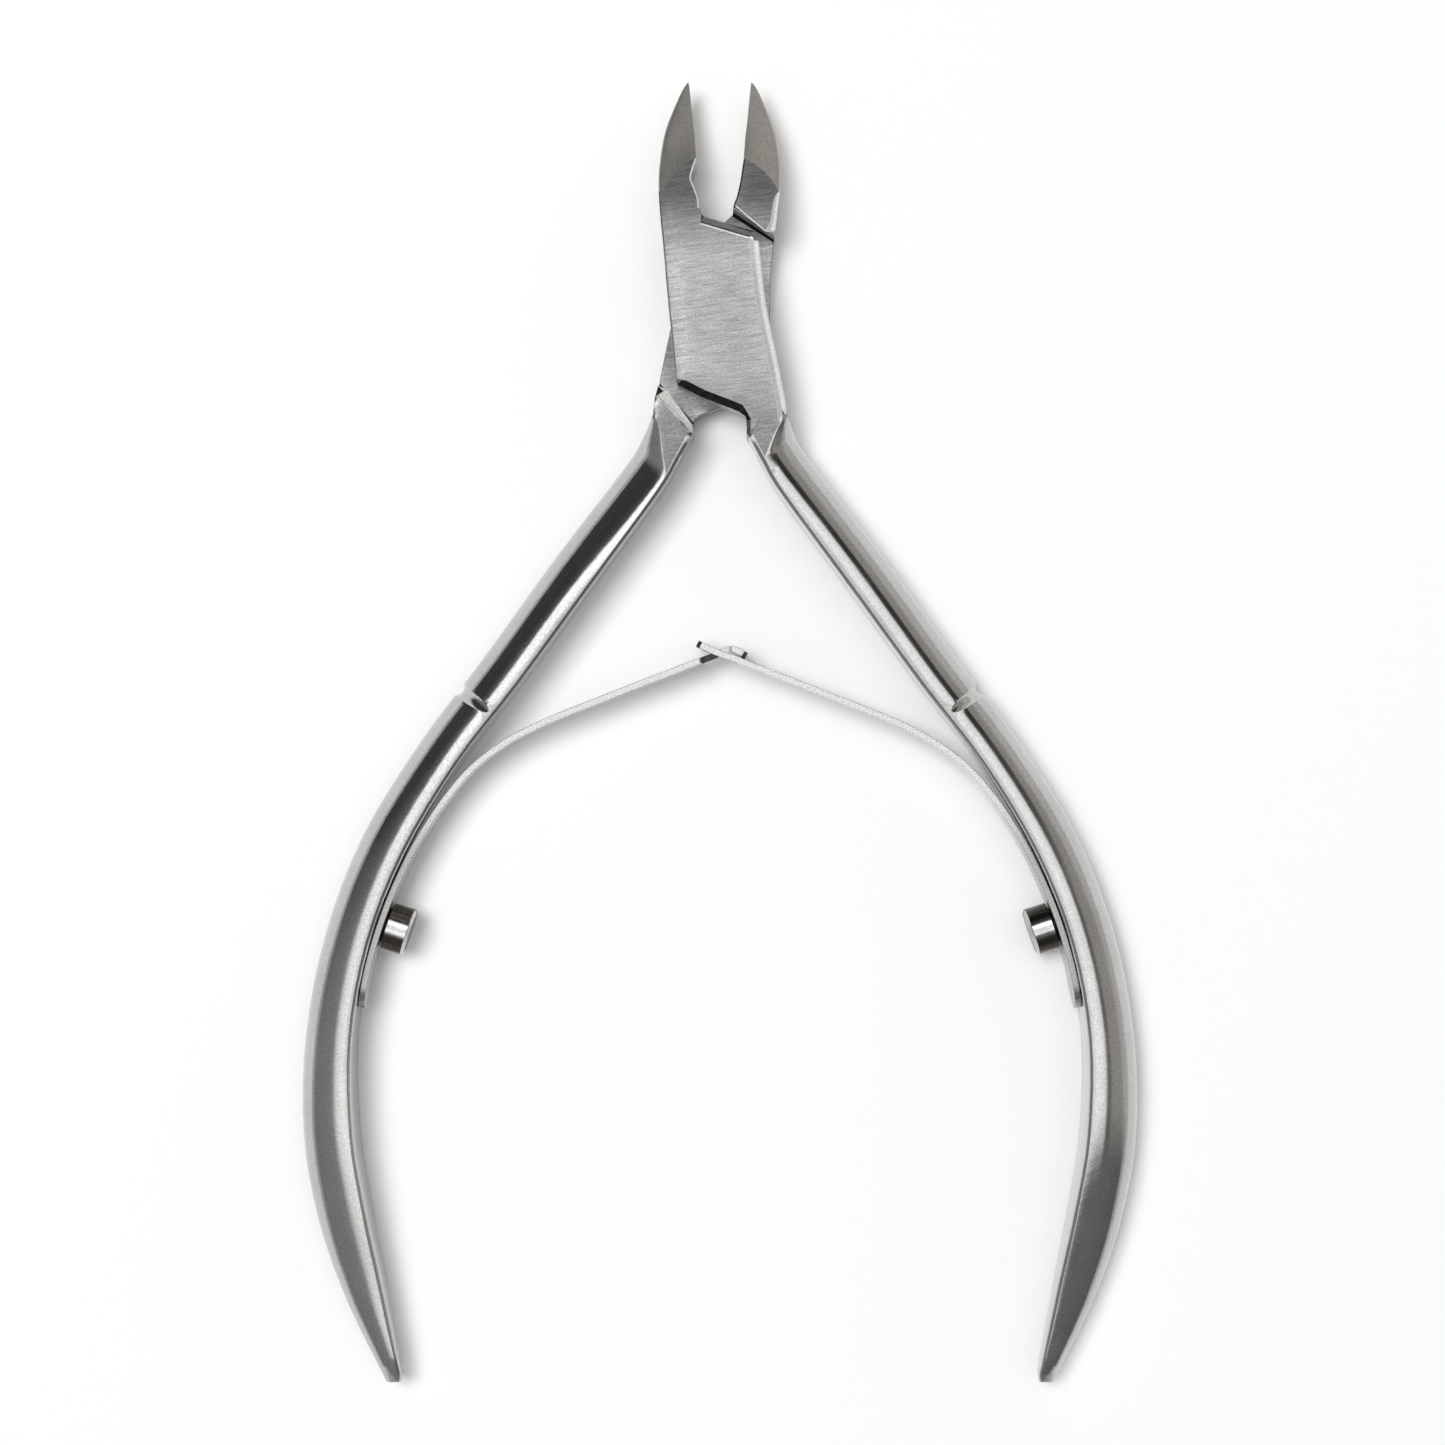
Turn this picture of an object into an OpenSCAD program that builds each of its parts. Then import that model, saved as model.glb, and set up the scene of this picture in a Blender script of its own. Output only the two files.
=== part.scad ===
// Cuticle nipper with a half-lap joint, two leaf springs and ground jaws.
// It lies flat: X across, Y towards the jaws, Z up from the rear face.
// The origin is on the pivot axis, at the rear face. The jaws are open, as the springs hold them.

/* [Lap joint] */
// Thickness of the two lapped plates together
thick = 6; // [5.6:0.1:6.4]
// Gap between the two lap plates
lap_gap = 0.04; // [0.02:0.01:0.1]
// Radius of the pivot rivet
rivet_r = 1.6; // [1.4:0.1:1.9]
// Radius of the rivet's flush ends
rivet_end_r = 2; // [1.9:0.1:2.4]
// Running clearance between the rivet and the front half
rivet_clearance = 0.03; // [0.02:0.01:0.08]

/* [Jaws] */
// Thickness of a jaw at its point
tip_thick = 1.1; // [0.9:0.1:2]
// Land left on the cutting edge
edge_thick = 0.1; // [0.05:0.05:0.3]

/* [Handles] */
// Depth of a handle at its end
tail_depth = 2.2; // [2:0.1:4]
// How far the round back of a handle starts from its flat inner face, as a share of its width
crest_share = 0.1; // [0.05:0.01:0.2]

// Radius of the index groove across each handle
groove_r = 0.4; // [0.3:0.05:0.5]

/* [Springs] */
// Thickness of a leaf
leaf_thick = 0.5; // [0.4:0.02:0.54]
// Width of a leaf
leaf_width = 4; // [3.4:0.1:4.6]
// Width of the neck that passes through the slot
neck_width = 1.4; // [1:0.1:1.6]
// Width of the slot
slot_width = 2; // [1.8:0.1:2.4]

/* [Screws] */
// Radius of a spring screw's head
head_r = 1.9; // [1.6:0.1:2.2]
// Height of a spring screw's head
head_h = 2.1; // [1.4:0.1:2.4]
// Radius of a spring screw's shank
shank_r = 0.9; // [0.8:0.1:1.1]
// Length of the shank inside the handle
shank_len = 2.4; // [2:0.1:2.6]

/* [Hidden] */
$fn = 64;

steel = [0.72, 0.72, 0.71];
spring_steel = [0.8, 0.8, 0.79];
screw_steel = [0.6, 0.6, 0.6];

mid = thick / 2;
far = 60;
// Room past a face for a clean cut
cut = 1;

// ---- Curves ----

// A point on the smooth curve through p1 and p2, at t from 0 to 1.
function spline_point(p0, p1, p2, p3, t) =
    0.5 * (2 * p1 + (p2 - p0) * t + (2 * p0 - 5 * p1 + 4 * p2 - p3) * t * t
           + (3 * p1 - p0 - 3 * p2 + p3) * t * t * t);

// A smooth curve through all the points, with the given steps between neighbours.
function spline(p, steps) = [
    for (i = [0 : len(p) - 2], k = [0 : steps - (i == len(p) - 2 ? 0 : 1)])
        spline_point(p[max(i - 1, 0)], p[i], p[i + 1], p[min(i + 2, len(p) - 1)], k / steps)
];

function unit(v) = v / norm(v);
function left_of(v) = [-v[1], v[0]];
// Unit normal of a path at point i, to the left of its direction.
function normal_at(p, i) = left_of(unit(p[min(i + 1, len(p) - 1)] - p[max(i - 1, 0)]));

// The half plane to the left of the line from a to b.
module side_of(a, b) {
    along = unit(b - a);
    polygon([a - far * along, b + far * along,
             b + far * along + far * left_of(along), a - far * along + far * left_of(along)]);
}

// ---- One half: jaw on the left, lap plate, handle on the right ----

// Outline of the jaw and the lap plate, from the jaw's point round by the mouth.
plate_outline = [
    [-2.48, 18.88], [-2.18, 15.9], [-1.88, 12.9], [-2.22, 11.9], [-2.32, 11.2], [-2.08, 10.6],
    [-1.74, 9.5], [-1.69, 8.84], [-1.3, 8.2], [0.3, 7.7], [2.8, 6.98], [2.95, 6.6], [3.53, 1.2],
    [4.42, -2.86], [5.31, -7.84], [3.3, -11.1], [1.93, -8.86], [2.15, -8.3], [1.9, -7.75],
    [1.4, -7.5], [-1.4, -6.45], [-3.36, -5.42], [-3.9, -2], [-4, 1.6], [-4, 2.96],
    [-4.74, 10.1], [-4.84, 11], [-4.76, 12.8], [-4.52, 14.1], [-4.2, 15.36], [-3.72, 16.64],
    [-3.16, 17.9]
];

// Edges of the lap recess, beside the jaw and beside the handle.
jaw_shoulder = [[-1.12, 8.66], [-4.44, 6.45]];
handle_shoulder = [[5.2, -5.2], [1.79, -8.6]];

// Places along Y where the ground faces start, and where the jaw ends.
ground_start = 10.4;
jaw_end = 18.9;
// Depth at which the ground faces start
ground_step = 0.12;
// Slope of the bevel behind the cutting edge, across for each unit of depth
bevel_run = 0.45;
// Radius of the groove's middle line, just outside the round back
groove_ring_r = 3.16;

// Opposite points of a handle, [outer edge, inner face], from the lap to the end.
handle_stations = [
    [[5.1, -7], [2.25, -9.25]],
    [[7.9, -12.2], [4.9, -14.3]],
    [[13.2, -19.1], [10.2, -21.4]],
    [[18.9, -27], [15.9, -29.2]],
    [[23.8, -33.5], [20.75, -35.5]],
    [[28.5, -41.1], [25, -42.6]],
    [[31.5, -48.9], [27.8, -49.8]],
    [[33.1, -57], [29.15, -57.3]],
    [[33.3, -65], [29.05, -64.8]],
    [[32.1, -72], [28.05, -71.1]],
    [[29.9, -78.3], [26.85, -76.9]],
    [[26.9, -84.5], [25.4, -83.9]]
];
ring_steps = 3;
outer_edge = spline([for (s = handle_stations) s[0]], ring_steps);
inner_edge = spline([for (s = handle_stations) s[1]], ring_steps);
rings = len(outer_edge);

// Half the depth of the handle at ring i: full as far as the belly, then a taper to the end.
belly_ring = 24;
full_half_depth = mid - 0.02;
function half_depth(i) =
    full_half_depth - (full_half_depth - tail_depth / 2) * pow(max(0, i - belly_ring) / (rings - 1 - belly_ring), 1.6);
// How square the handle's back is at ring i: nearly a box at the lap, round further down.
function squareness(i) = 0.25 + 0.65 * min(1, i / 4);

back_steps = 10;
face_chamfer = 0.3;
function handle_ring(i) = [
    for (k = [0 : back_steps])
        let (a = -90 + 180 * k / back_steps,
             share = crest_share + (1 - crest_share) * pow(abs(cos(a)), squareness(i)),
             p = inner_edge[i] + share * (outer_edge[i] - inner_edge[i]))
        [p[0], p[1], mid + half_depth(i) * sign(a) * pow(abs(sin(a)), squareness(i))],
    for (side = [1, -1])
        [inner_edge[i][0], inner_edge[i][1], mid + side * (half_depth(i) - face_chamfer)]
];
ring_points = back_steps + 3;

module handle() {
    polyhedron(
        points = [for (i = [0 : rings - 1]) each handle_ring(i)],
        faces = [
            [for (k = [0 : ring_points - 1]) k],
            [for (k = [0 : ring_points - 1]) rings * ring_points - 1 - k],
            for (i = [0 : rings - 2], k = [0 : ring_points - 1])
                let (a = i * ring_points + k, b = i * ring_points + (k + 1) % ring_points)
                [a, a + ring_points, b + ring_points, b]
        ]);
}

// Side view of a jaw: the ground front and back faces close in on the point.
module jaw_taper() {
    rotate([90, 0, 90])
        linear_extrude(far, center = true)
            polygon([[-far, 0], [ground_start, 0], [ground_start, ground_step],
                     [jaw_end, mid - tip_thick / 2], [jaw_end, mid + tip_thick / 2],
                     [ground_start, thick - ground_step], [ground_start, thick], [-far, thick]]);
}

// Wedge ground off the jaw's back, so that its inner edge is sharp. The front face keeps its full
// width: it is the upper face where side is 1, and the lower face where side is -1.
module edge_bevel(side) {
    heel = [-1.88, 12.9];
    along = [-2.48, jaw_end] - heel;
    drop = mid - ground_step - tip_thick / 2;
    fall = atan(drop / (jaw_end - ground_start));
    heel_half = mid - ground_step - drop * (heel[1] - ground_start) / (jaw_end - ground_start);
    translate([heel[0], heel[1], mid + side * heel_half])
        rotate([0, 0, atan2(along[1], along[0]) - 90])
            rotate([-side * fall, 0, 0])
                rotate([90, 0, 0])
                    translate([0, 0, -2 * norm(along)])
                        linear_extrude(2 * norm(along))
                            polygon([[0, -side * edge_thick], [2, -side * edge_thick],
                                     [2, -side * far], [-far * bevel_run, -side * far]]);
}

// A round groove across the back of the handle, which follows its curve.
module index_groove() {
    face = [18.25, -31.35];
    back = [20.95, -29.5];
    centre = face + 0.86 * unit(back - face);
    translate([centre[0], centre[1], mid])
        rotate([0, 0, atan2(back[1] - face[1], back[0] - face[0])])
            rotate([90, 0, 0])
                rotate_extrude()
                    translate([groove_ring_r, 0])
                        circle(r = groove_r);
}

// The half turned so that its jaw is on the left. The rear half is laid face down afterwards,
// so its front face is the lower one here.
module half(bore_gap, front_side) {
    difference() {
        union() {
            intersection() {
                union() {
                    translate([0, 0, mid + lap_gap / 2])
                        linear_extrude(mid - lap_gap / 2)
                            polygon(plate_outline);
                    linear_extrude(thick)
                        intersection() {
                            polygon(plate_outline);
                            side_of(jaw_shoulder[1], jaw_shoulder[0]);
                        }
                    linear_extrude(thick)
                        intersection() {
                            polygon(plate_outline);
                            side_of(handle_shoulder[0], handle_shoulder[1]);
                        }
                }
                jaw_taper();
            }
            handle();
        }
        rivet_shape(bore_gap, cut);
        edge_bevel(front_side);
        index_groove();
        at_screw() translate([0, 0, -leaf_thick - seat_gap - shank_len - 0.1])
            cylinder(r = shank_r, h = shank_len + leaf_thick);
    }
}

// ---- Pivot rivet ----

// The rivet, grown by a gap all round and made longer at both ends by past.
module rivet_shape(gap, past) {
    flare = rivet_end_r - rivet_r;
    rotate_extrude()
        polygon([[0, -past], [rivet_end_r + gap, -past], [rivet_end_r + gap, 0], [rivet_r + gap, flare],
                 [rivet_r + gap, thick - flare], [rivet_end_r + gap, thick],
                 [rivet_end_r + gap, thick + past], [0, thick + past]]);
}

// ---- Leaf springs and their screws ----

// Middle line of a leaf, from its lower end up to where the leaves cross.
leaf_route = [[28.58, -55], [28.05, -52], [27.13, -48.7], [25.88, -45.4], [24.05, -41.7], [21.6, -38],
              [19, -35.2], [15.1, -32.7], [8.8, -30.1], [1.6, -27.3]];
// The right leaf runs on and curls up. The left leaf runs on the other way, in an arch.
curled_tip = [[0.2, -26.8], [-0.9, -26.35], [-1.8, -25.9]];
arched_tip = [[0.5, -26.85], [-0.1, -26.45], [-1, -26.15], [-2.1, -26.8]];
leaf_steps = 4;

// Place and heading of the right screw's seat, on the inner side of the leaf.
screw_place = [[26.99, -48.27], 198.7];
// Room under the flat head, because the leaf curves up a little to its rim
seat_gap = 0.08;

module at_screw() {
    translate([screw_place[0][0], screw_place[0][1], mid])
        rotate([0, 0, screw_place[1]])
            rotate([0, 90, 0])
                translate([0, 0, leaf_thick / 2 + seat_gap])
                    children();
}

// A flat strip bent along a path, with both ends rounded in the strip's own plane.
module strip(path) {
    last = len(path) - 1;
    half_t = leaf_thick / 2;
    left_side = [for (i = [0 : last]) path[i] + half_t * normal_at(path, i)];
    right_side = [for (i = [last : -1 : 0]) path[i] - half_t * normal_at(path, i)];
    difference() {
        translate([0, 0, mid - leaf_width / 2])
            linear_extrude(leaf_width)
                polygon(concat(left_side, right_side));
        for (tip = [[path[0], path[1]], [path[last], path[last - 1]]])
            end_rounding(tip[0], tip[1]);
    }
}

// What comes off a strip's end at a, when its next point is b.
module end_rounding(a, b) {
    corner = leaf_width * 0.35;
    inward = unit(b - a);
    for (side = [0, 1])
        translate([0, 0, mid])
            mirror([0, 0, side])
                translate([a[0], a[1], leaf_width / 2 - corner])
                    rotate([0, 0, atan2(inward[1], inward[0])])
                        rotate([90, 0, 0])
                            difference() {
                                translate([-cut, 0, -cut])
                                    cube([corner + cut, corner + cut, 2 * cut]);
                                translate([corner, 0, -2 * cut])
                                    cylinder(r = corner, h = 4 * cut);
                            }
}

module leaf(tip) {
    difference() {
        strip(spline(concat(leaf_route, tip), leaf_steps));
        at_screw() cylinder(r = shank_r + 0.1, h = 4 * cut, center = true);
    }
}

// Both are set on the right: the left leaf is mirrored when it is placed.
module slotted_leaf() {
    difference() {
        leaf(curled_tip);
        translate([0.1, -26.8, mid])
            rotate([0, 0, -20])
                cube([2.9, 3, slot_width], center = true);
    }
}

module necked_leaf() {
    difference() {
        leaf(arched_tip);
        for (side = [0, 1])
            translate([0, 0, mid])
                mirror([0, 0, side])
                    translate([-0.75, -28.5, neck_width / 2])
                        cube([2.3, 4, leaf_width]);
    }
}

module spring_screw() {
    chamfer = 0.25;
    slot_depth = 0.6;
    slot_w = 0.5;
    at_screw()
        difference() {
            rotate_extrude()
                polygon([[0, -leaf_thick - seat_gap - shank_len], [shank_r, -leaf_thick - seat_gap - shank_len],
                         [shank_r, 0], [head_r, 0], [head_r, head_h - chamfer],
                         [head_r - chamfer, head_h], [0, head_h]]);
            translate([-far / 2, -slot_w / 2, head_h - slot_depth])
                cube([far, slot_w, slot_depth + cut]);
        }
}

// ---- Pieces ----

module front_half() {
    color(steel) half(rivet_clearance, 1);
}

module rear_half() {
    color(steel) translate([0, 0, thick]) rotate([0, 180, 0]) half(0, -1);
}

module pivot_rivet() {
    color(steel) rivet_shape(0, 0);
}

module right_leaf_spring() {
    color(spring_steel) slotted_leaf();
}

module left_leaf_spring() {
    color(spring_steel) mirror([1, 0, 0]) necked_leaf();
}

module right_spring_screw() {
    color(screw_steel) spring_screw();
}

module left_spring_screw() {
    color(screw_steel) mirror([1, 0, 0]) spring_screw();
}

rear_half();
front_half();
pivot_rivet();
left_leaf_spring();
right_leaf_spring();
left_spring_screw();
right_spring_screw();
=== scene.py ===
"""Cuticle nipper: the looks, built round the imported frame. Sizes are in millimetres until put()."""
import math

import bmesh
import bpy
import numpy as np
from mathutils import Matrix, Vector

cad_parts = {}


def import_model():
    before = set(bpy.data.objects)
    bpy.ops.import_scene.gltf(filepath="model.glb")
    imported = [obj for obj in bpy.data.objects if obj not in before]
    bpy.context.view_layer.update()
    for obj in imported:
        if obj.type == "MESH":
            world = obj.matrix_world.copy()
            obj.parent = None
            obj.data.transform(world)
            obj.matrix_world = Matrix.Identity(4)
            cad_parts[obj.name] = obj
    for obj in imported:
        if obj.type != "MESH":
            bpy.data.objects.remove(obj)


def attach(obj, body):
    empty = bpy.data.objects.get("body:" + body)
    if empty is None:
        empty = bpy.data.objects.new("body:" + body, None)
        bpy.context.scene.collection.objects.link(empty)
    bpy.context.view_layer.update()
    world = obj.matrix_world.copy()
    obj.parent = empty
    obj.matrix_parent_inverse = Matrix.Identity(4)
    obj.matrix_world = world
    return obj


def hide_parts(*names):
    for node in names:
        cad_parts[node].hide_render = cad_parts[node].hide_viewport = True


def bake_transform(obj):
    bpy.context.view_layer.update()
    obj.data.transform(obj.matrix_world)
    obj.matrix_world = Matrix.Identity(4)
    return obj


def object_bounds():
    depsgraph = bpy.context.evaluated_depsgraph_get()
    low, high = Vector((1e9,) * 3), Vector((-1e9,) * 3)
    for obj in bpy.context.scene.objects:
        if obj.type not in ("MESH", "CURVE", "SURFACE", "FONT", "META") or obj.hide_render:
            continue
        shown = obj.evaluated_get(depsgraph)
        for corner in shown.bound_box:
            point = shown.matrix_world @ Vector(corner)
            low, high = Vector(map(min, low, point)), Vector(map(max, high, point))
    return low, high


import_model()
cad_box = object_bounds()

MM = 0.001
THICK = (cad_box[1][2] - cad_box[0][2]) / MM
MID = THICK / 2
TOP = THICK - 0.01
BOTTOM = 0.01
LAP = MID + 0.02


# ---------------------------------------------------------------- curves

def unit(v):
    """v scaled to length 1, row by row if v is a list of vectors."""
    v = np.asarray(v, float)
    return v / np.linalg.norm(v, axis=-1, keepdims=True)


def spline(points, steps):
    """A Catmull-Rom curve through rows of numbers, with steps between neighbours."""
    p = np.asarray(points, float)
    out = []
    for i in range(len(p) - 1):
        a, b, c, d = p[max(i - 1, 0)], p[i], p[i + 1], p[min(i + 2, len(p) - 1)]
        for t in np.arange(steps) / steps:
            out.append(0.5 * (2 * b + (c - a) * t + (2 * a - 5 * b + 4 * c - d) * t ** 2
                              + (3 * b - a - 3 * c + d) * t ** 3))
    out.append(p[-1])
    return np.array(out)


def tangents(points):
    """Unit directions along a line of points."""
    ahead = np.vstack([points[1:], points[-1:]])
    behind = np.vstack([points[:1], points[:-1]])
    return unit(ahead - behind)


# ---------------------------------------------------------------- meshes

# Edges that turn by more than this are shaded sharp.
SHARP_TURN = math.radians(32)


def put(name, vertices, faces, materials, slots=None):
    """A mesh object from millimetres, shaded smooth except over sharp edges."""
    mesh = bpy.data.meshes.new(name)
    mesh.from_pydata([tuple(np.asarray(v) * MM) for v in vertices], [], faces)
    for m in materials:
        mesh.materials.append(m)
    if slots is not None:
        mesh.polygons.foreach_set("material_index", slots)
    piece = bpy.data.objects.new(name, mesh)
    bpy.context.scene.collection.objects.link(piece)
    bm = bmesh.new()
    bm.from_mesh(mesh)
    bmesh.ops.remove_doubles(bm, verts=bm.verts, dist=2e-6)
    bmesh.ops.recalc_face_normals(bm, faces=bm.faces)
    bm.to_mesh(mesh)
    bm.free()
    mesh.shade_smooth()
    mesh.set_sharp_from_angle(angle=SHARP_TURN)
    return piece


def skin(rings):
    """Faces over closed rings of equally many points and over both ends.

    Gives (vertices, faces, ring number and place round the ring of each face).
    """
    count = len(rings[0])
    vertices = [p for ring in rings for p in ring]
    faces, where = [], []
    for i in range(len(rings) - 1):
        for k in range(count):
            n = (k + 1) % count
            faces.append((i * count + k, i * count + n, (i + 1) * count + n, (i + 1) * count + k))
            where.append((i, k))
    faces.append(tuple(range(count)))
    faces.append(tuple(range((len(rings) - 1) * count, len(rings) * count)))
    where += [(0, 0), (len(rings) - 2, 0)]
    return vertices, faces, where


def lathe(profile, sides=72):
    """(vertices, faces) of a turned solid about Z, from (radius, height) points on its outline."""
    angles = np.arange(sides) * 2 * math.pi / sides
    rings = [[(r * math.cos(a), r * math.sin(a), z) for a in angles] for r, z in profile]
    vertices, faces, _ = skin(rings)
    return vertices, faces


def cut(piece, cutter, crisp_slot=None):
    """Takes the cutter out of the piece, with a crisp edge round the faces of one material slot."""
    modifier = piece.modifiers.new("cut", "BOOLEAN")
    modifier.operation = "DIFFERENCE"
    modifier.solver = "EXACT"
    modifier.object = cutter
    bpy.context.view_layer.update()
    evaluated = piece.evaluated_get(bpy.context.evaluated_depsgraph_get())
    cut_mesh = bpy.data.meshes.new_from_object(evaluated)
    piece.modifiers.clear()
    old = piece.data
    piece.data = cut_mesh
    cut_mesh.name = old.name
    bpy.data.meshes.remove(old)
    bpy.data.objects.remove(cutter)
    piece.data.shade_smooth()
    piece.data.set_sharp_from_angle(angle=SHARP_TURN)
    bm = bmesh.new()
    bm.from_mesh(piece.data)
    for e in bm.edges:
        if sum(f.material_index == crisp_slot for f in e.link_faces) == 1:
            e.smooth = False
    bm.to_mesh(piece.data)
    bm.free()


def place(vertices, centre, heading):
    """Points about Z turned so that their Z runs along heading (degrees in the XY plane), at centre."""
    c, s = math.cos(math.radians(heading)), math.sin(math.radians(heading))
    return [(centre[0] + z * c - y * s, centre[1] + z * s + y * c, MID + x) for x, y, z in vertices]


# ---------------------------------------------------------------- materials

def material(name, color, roughness, metallic=1.0):
    """A new principled material: (material, node tree, shader)."""
    m = bpy.data.materials.new(name)
    m.use_nodes = True
    shader = m.node_tree.nodes["Principled BSDF"]
    shader.inputs["Base Color"].default_value = (*color, 1)
    shader.inputs["Roughness"].default_value = roughness
    shader.inputs["Metallic"].default_value = metallic
    return m, m.node_tree, shader


def noise(tree, scale, stretch=(1, 1, 1), turn=0.0, detail=4.0, roughness=0.6):
    """Noise in the object's own coordinates, in metres: finer along the axes that stretch more."""
    coords = tree.nodes.new("ShaderNodeTexCoord")
    mapping = tree.nodes.new("ShaderNodeMapping")
    mapping.vector_type = "TEXTURE"
    mapping.inputs["Rotation"].default_value = (0, 0, turn)
    mapping.inputs["Scale"].default_value = tuple(1 / s for s in stretch)
    texture = tree.nodes.new("ShaderNodeTexNoise")
    texture.inputs["Scale"].default_value = scale
    texture.inputs["Detail"].default_value = detail
    texture.inputs["Roughness"].default_value = roughness
    tree.links.new(coords.outputs["Object"], mapping.inputs["Vector"])
    tree.links.new(mapping.outputs["Vector"], texture.inputs["Vector"])
    return texture.outputs["Fac"]


def ramp(tree, value, low, high, start=0.3, end=0.7):
    """The value spread between two levels or two colours."""
    node = tree.nodes.new("ShaderNodeMix")
    is_color = not isinstance(low, (int, float))
    node.data_type = "RGBA" if is_color else "FLOAT"
    first, second, out = (6, 7, 2) if is_color else (2, 3, 0)
    node.inputs[first].default_value = (*low, 1) if is_color else low
    node.inputs[second].default_value = (*high, 1) if is_color else high
    spread = tree.nodes.new("ShaderNodeMapRange")
    spread.inputs["From Min"].default_value = start
    spread.inputs["From Max"].default_value = end
    tree.links.new(value, spread.inputs["Value"])
    tree.links.new(spread.outputs["Result"], node.inputs[0])
    return node.outputs[out]


def bump(tree, shader, value, height, before=None):
    """Bump of the given height in metres, on top of an earlier bump."""
    node = tree.nodes.new("ShaderNodeBump")
    node.inputs["Strength"].default_value = 1.0
    node.inputs["Distance"].default_value = height
    tree.links.new(value, node.inputs["Height"])
    if before is not None:
        tree.links.new(before, node.inputs["Normal"])
    tree.links.new(node.outputs["Normal"], shader.inputs["Normal"])
    return node.outputs["Normal"]


def along(tree, axis, start, end):
    """0 to 1 between two places along one of the object's own axes, in metres."""
    coords = tree.nodes.new("ShaderNodeTexCoord")
    split = tree.nodes.new("ShaderNodeSeparateXYZ")
    spread = tree.nodes.new("ShaderNodeMapRange")
    spread.interpolation_type = "SMOOTHSTEP"
    spread.inputs["From Min"].default_value = start
    spread.inputs["From Max"].default_value = end
    tree.links.new(coords.outputs["Object"], split.inputs["Vector"])
    tree.links.new(split.outputs[axis], spread.inputs["Value"])
    return spread.outputs["Result"]


def multiply(tree, color, other):
    """One colour times another."""
    node = tree.nodes.new("ShaderNodeMix")
    node.data_type = "RGBA"
    node.blend_type = "MULTIPLY"
    node.inputs[0].default_value = 1.0
    tree.links.new(color, node.inputs[6])
    tree.links.new(other, node.inputs[7])
    return node.outputs[2]


def brushed_steel():
    """Lap faces: short brushed lines across and a fine grain, with painted shade that darkens them by the
    jaws and by the handles.
    """
    m, tree, shader = material("brushed_steel", (0.4, 0.4, 0.4), 0.4)
    lines = noise(tree, 1300, stretch=(0.42, 9, 1), turn=math.radians(7), detail=4, roughness=0.7)
    scratches = noise(tree, 700, stretch=(0.25, 8, 1), turn=math.radians(12), detail=2)
    grain = noise(tree, 6500, detail=3, roughness=0.7)
    patches = noise(tree, 300, detail=3)
    streaks = ramp(tree, lines, (0.345, 0.35, 0.358), (0.53, 0.53, 0.523), 0.4, 0.6)
    grained = multiply(tree, streaks, ramp(tree, grain, (0.74, 0.74, 0.74), (1.26, 1.26, 1.26)))
    worn = multiply(tree, grained, ramp(tree, patches, (0.9, 0.9, 0.915), (1.06, 1.06, 1.05)))
    # Painted shade: the lap darker towards the jaws (y 4 to 10.5 mm) and towards the handles (y -4 to -9
    # mm).
    dark = ramp(tree, along(tree, "Y", 0.004, 0.0105), (1.0, 1.0, 1.0), (0.26, 0.26, 0.265), 0.0, 1.0)
    root = ramp(tree, along(tree, "Y", -0.004, -0.009), (1.0, 1.0, 1.0), (0.66, 0.66, 0.66), 0.0, 1.0)
    tree.links.new(multiply(tree, multiply(tree, worn, dark), root), shader.inputs["Base Color"])
    tree.links.new(ramp(tree, scratches, 0.22, 0.36), shader.inputs["Roughness"])
    first = bump(tree, shader, lines, 3e-6)
    bump(tree, shader, grain, 2e-6, first)
    return m


def ground_steel():
    """Jaws: ground matt, fine-grained and a little warm, with painted light that makes the right jaw
    lighter than the left.
    """
    m, tree, shader = material("ground_steel", (0.33, 0.32, 0.3), 0.5)
    grain = noise(tree, 7000, detail=3)
    lines = noise(tree, 1500, stretch=(0.12, 1.6, 1), turn=math.radians(-50), detail=4)
    patches = noise(tree, 260, detail=2)
    fine = ramp(tree, grain, (0.78, 0.78, 0.78), (1.22, 1.22, 1.22))
    tone = ramp(tree, patches, (0.4, 0.385, 0.36), (0.46, 0.445, 0.415))
    # Painted light: the right jaw (positive X) lighter than the left.
    side = ramp(tree, along(tree, "X", -0.002, 0.002), (1.0, 1.0, 1.0), (1.22, 1.22, 1.21), 0.0, 1.0)
    tree.links.new(multiply(tree, multiply(tree, tone, fine), side), shader.inputs["Base Color"])
    tree.links.new(ramp(tree, grain, 0.45, 0.6), shader.inputs["Roughness"])
    first = bump(tree, shader, grain, 3e-6)
    bump(tree, shader, lines, 3e-6, first)
    return m


def dark_steel(name, low, high):
    """Near-black steel. As dark_steel it is painted shade: the walls in the corners of the lap, their feet,
    the lap's lower chamfer and the underside of the screw heads. As the leaves' darker steel it is their
    tip ends, cut by shearing, and painted shade on the left leaf's neck.
    """
    m, tree, shader = material(name, low, 0.6)
    scale = noise(tree, 2500, detail=4)
    tree.links.new(ramp(tree, scale, low, high), shader.inputs["Base Color"])
    tree.links.new(ramp(tree, scale, 0.5, 0.7), shader.inputs["Roughness"])
    bump(tree, shader, scale, 8e-6)
    return m


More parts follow.
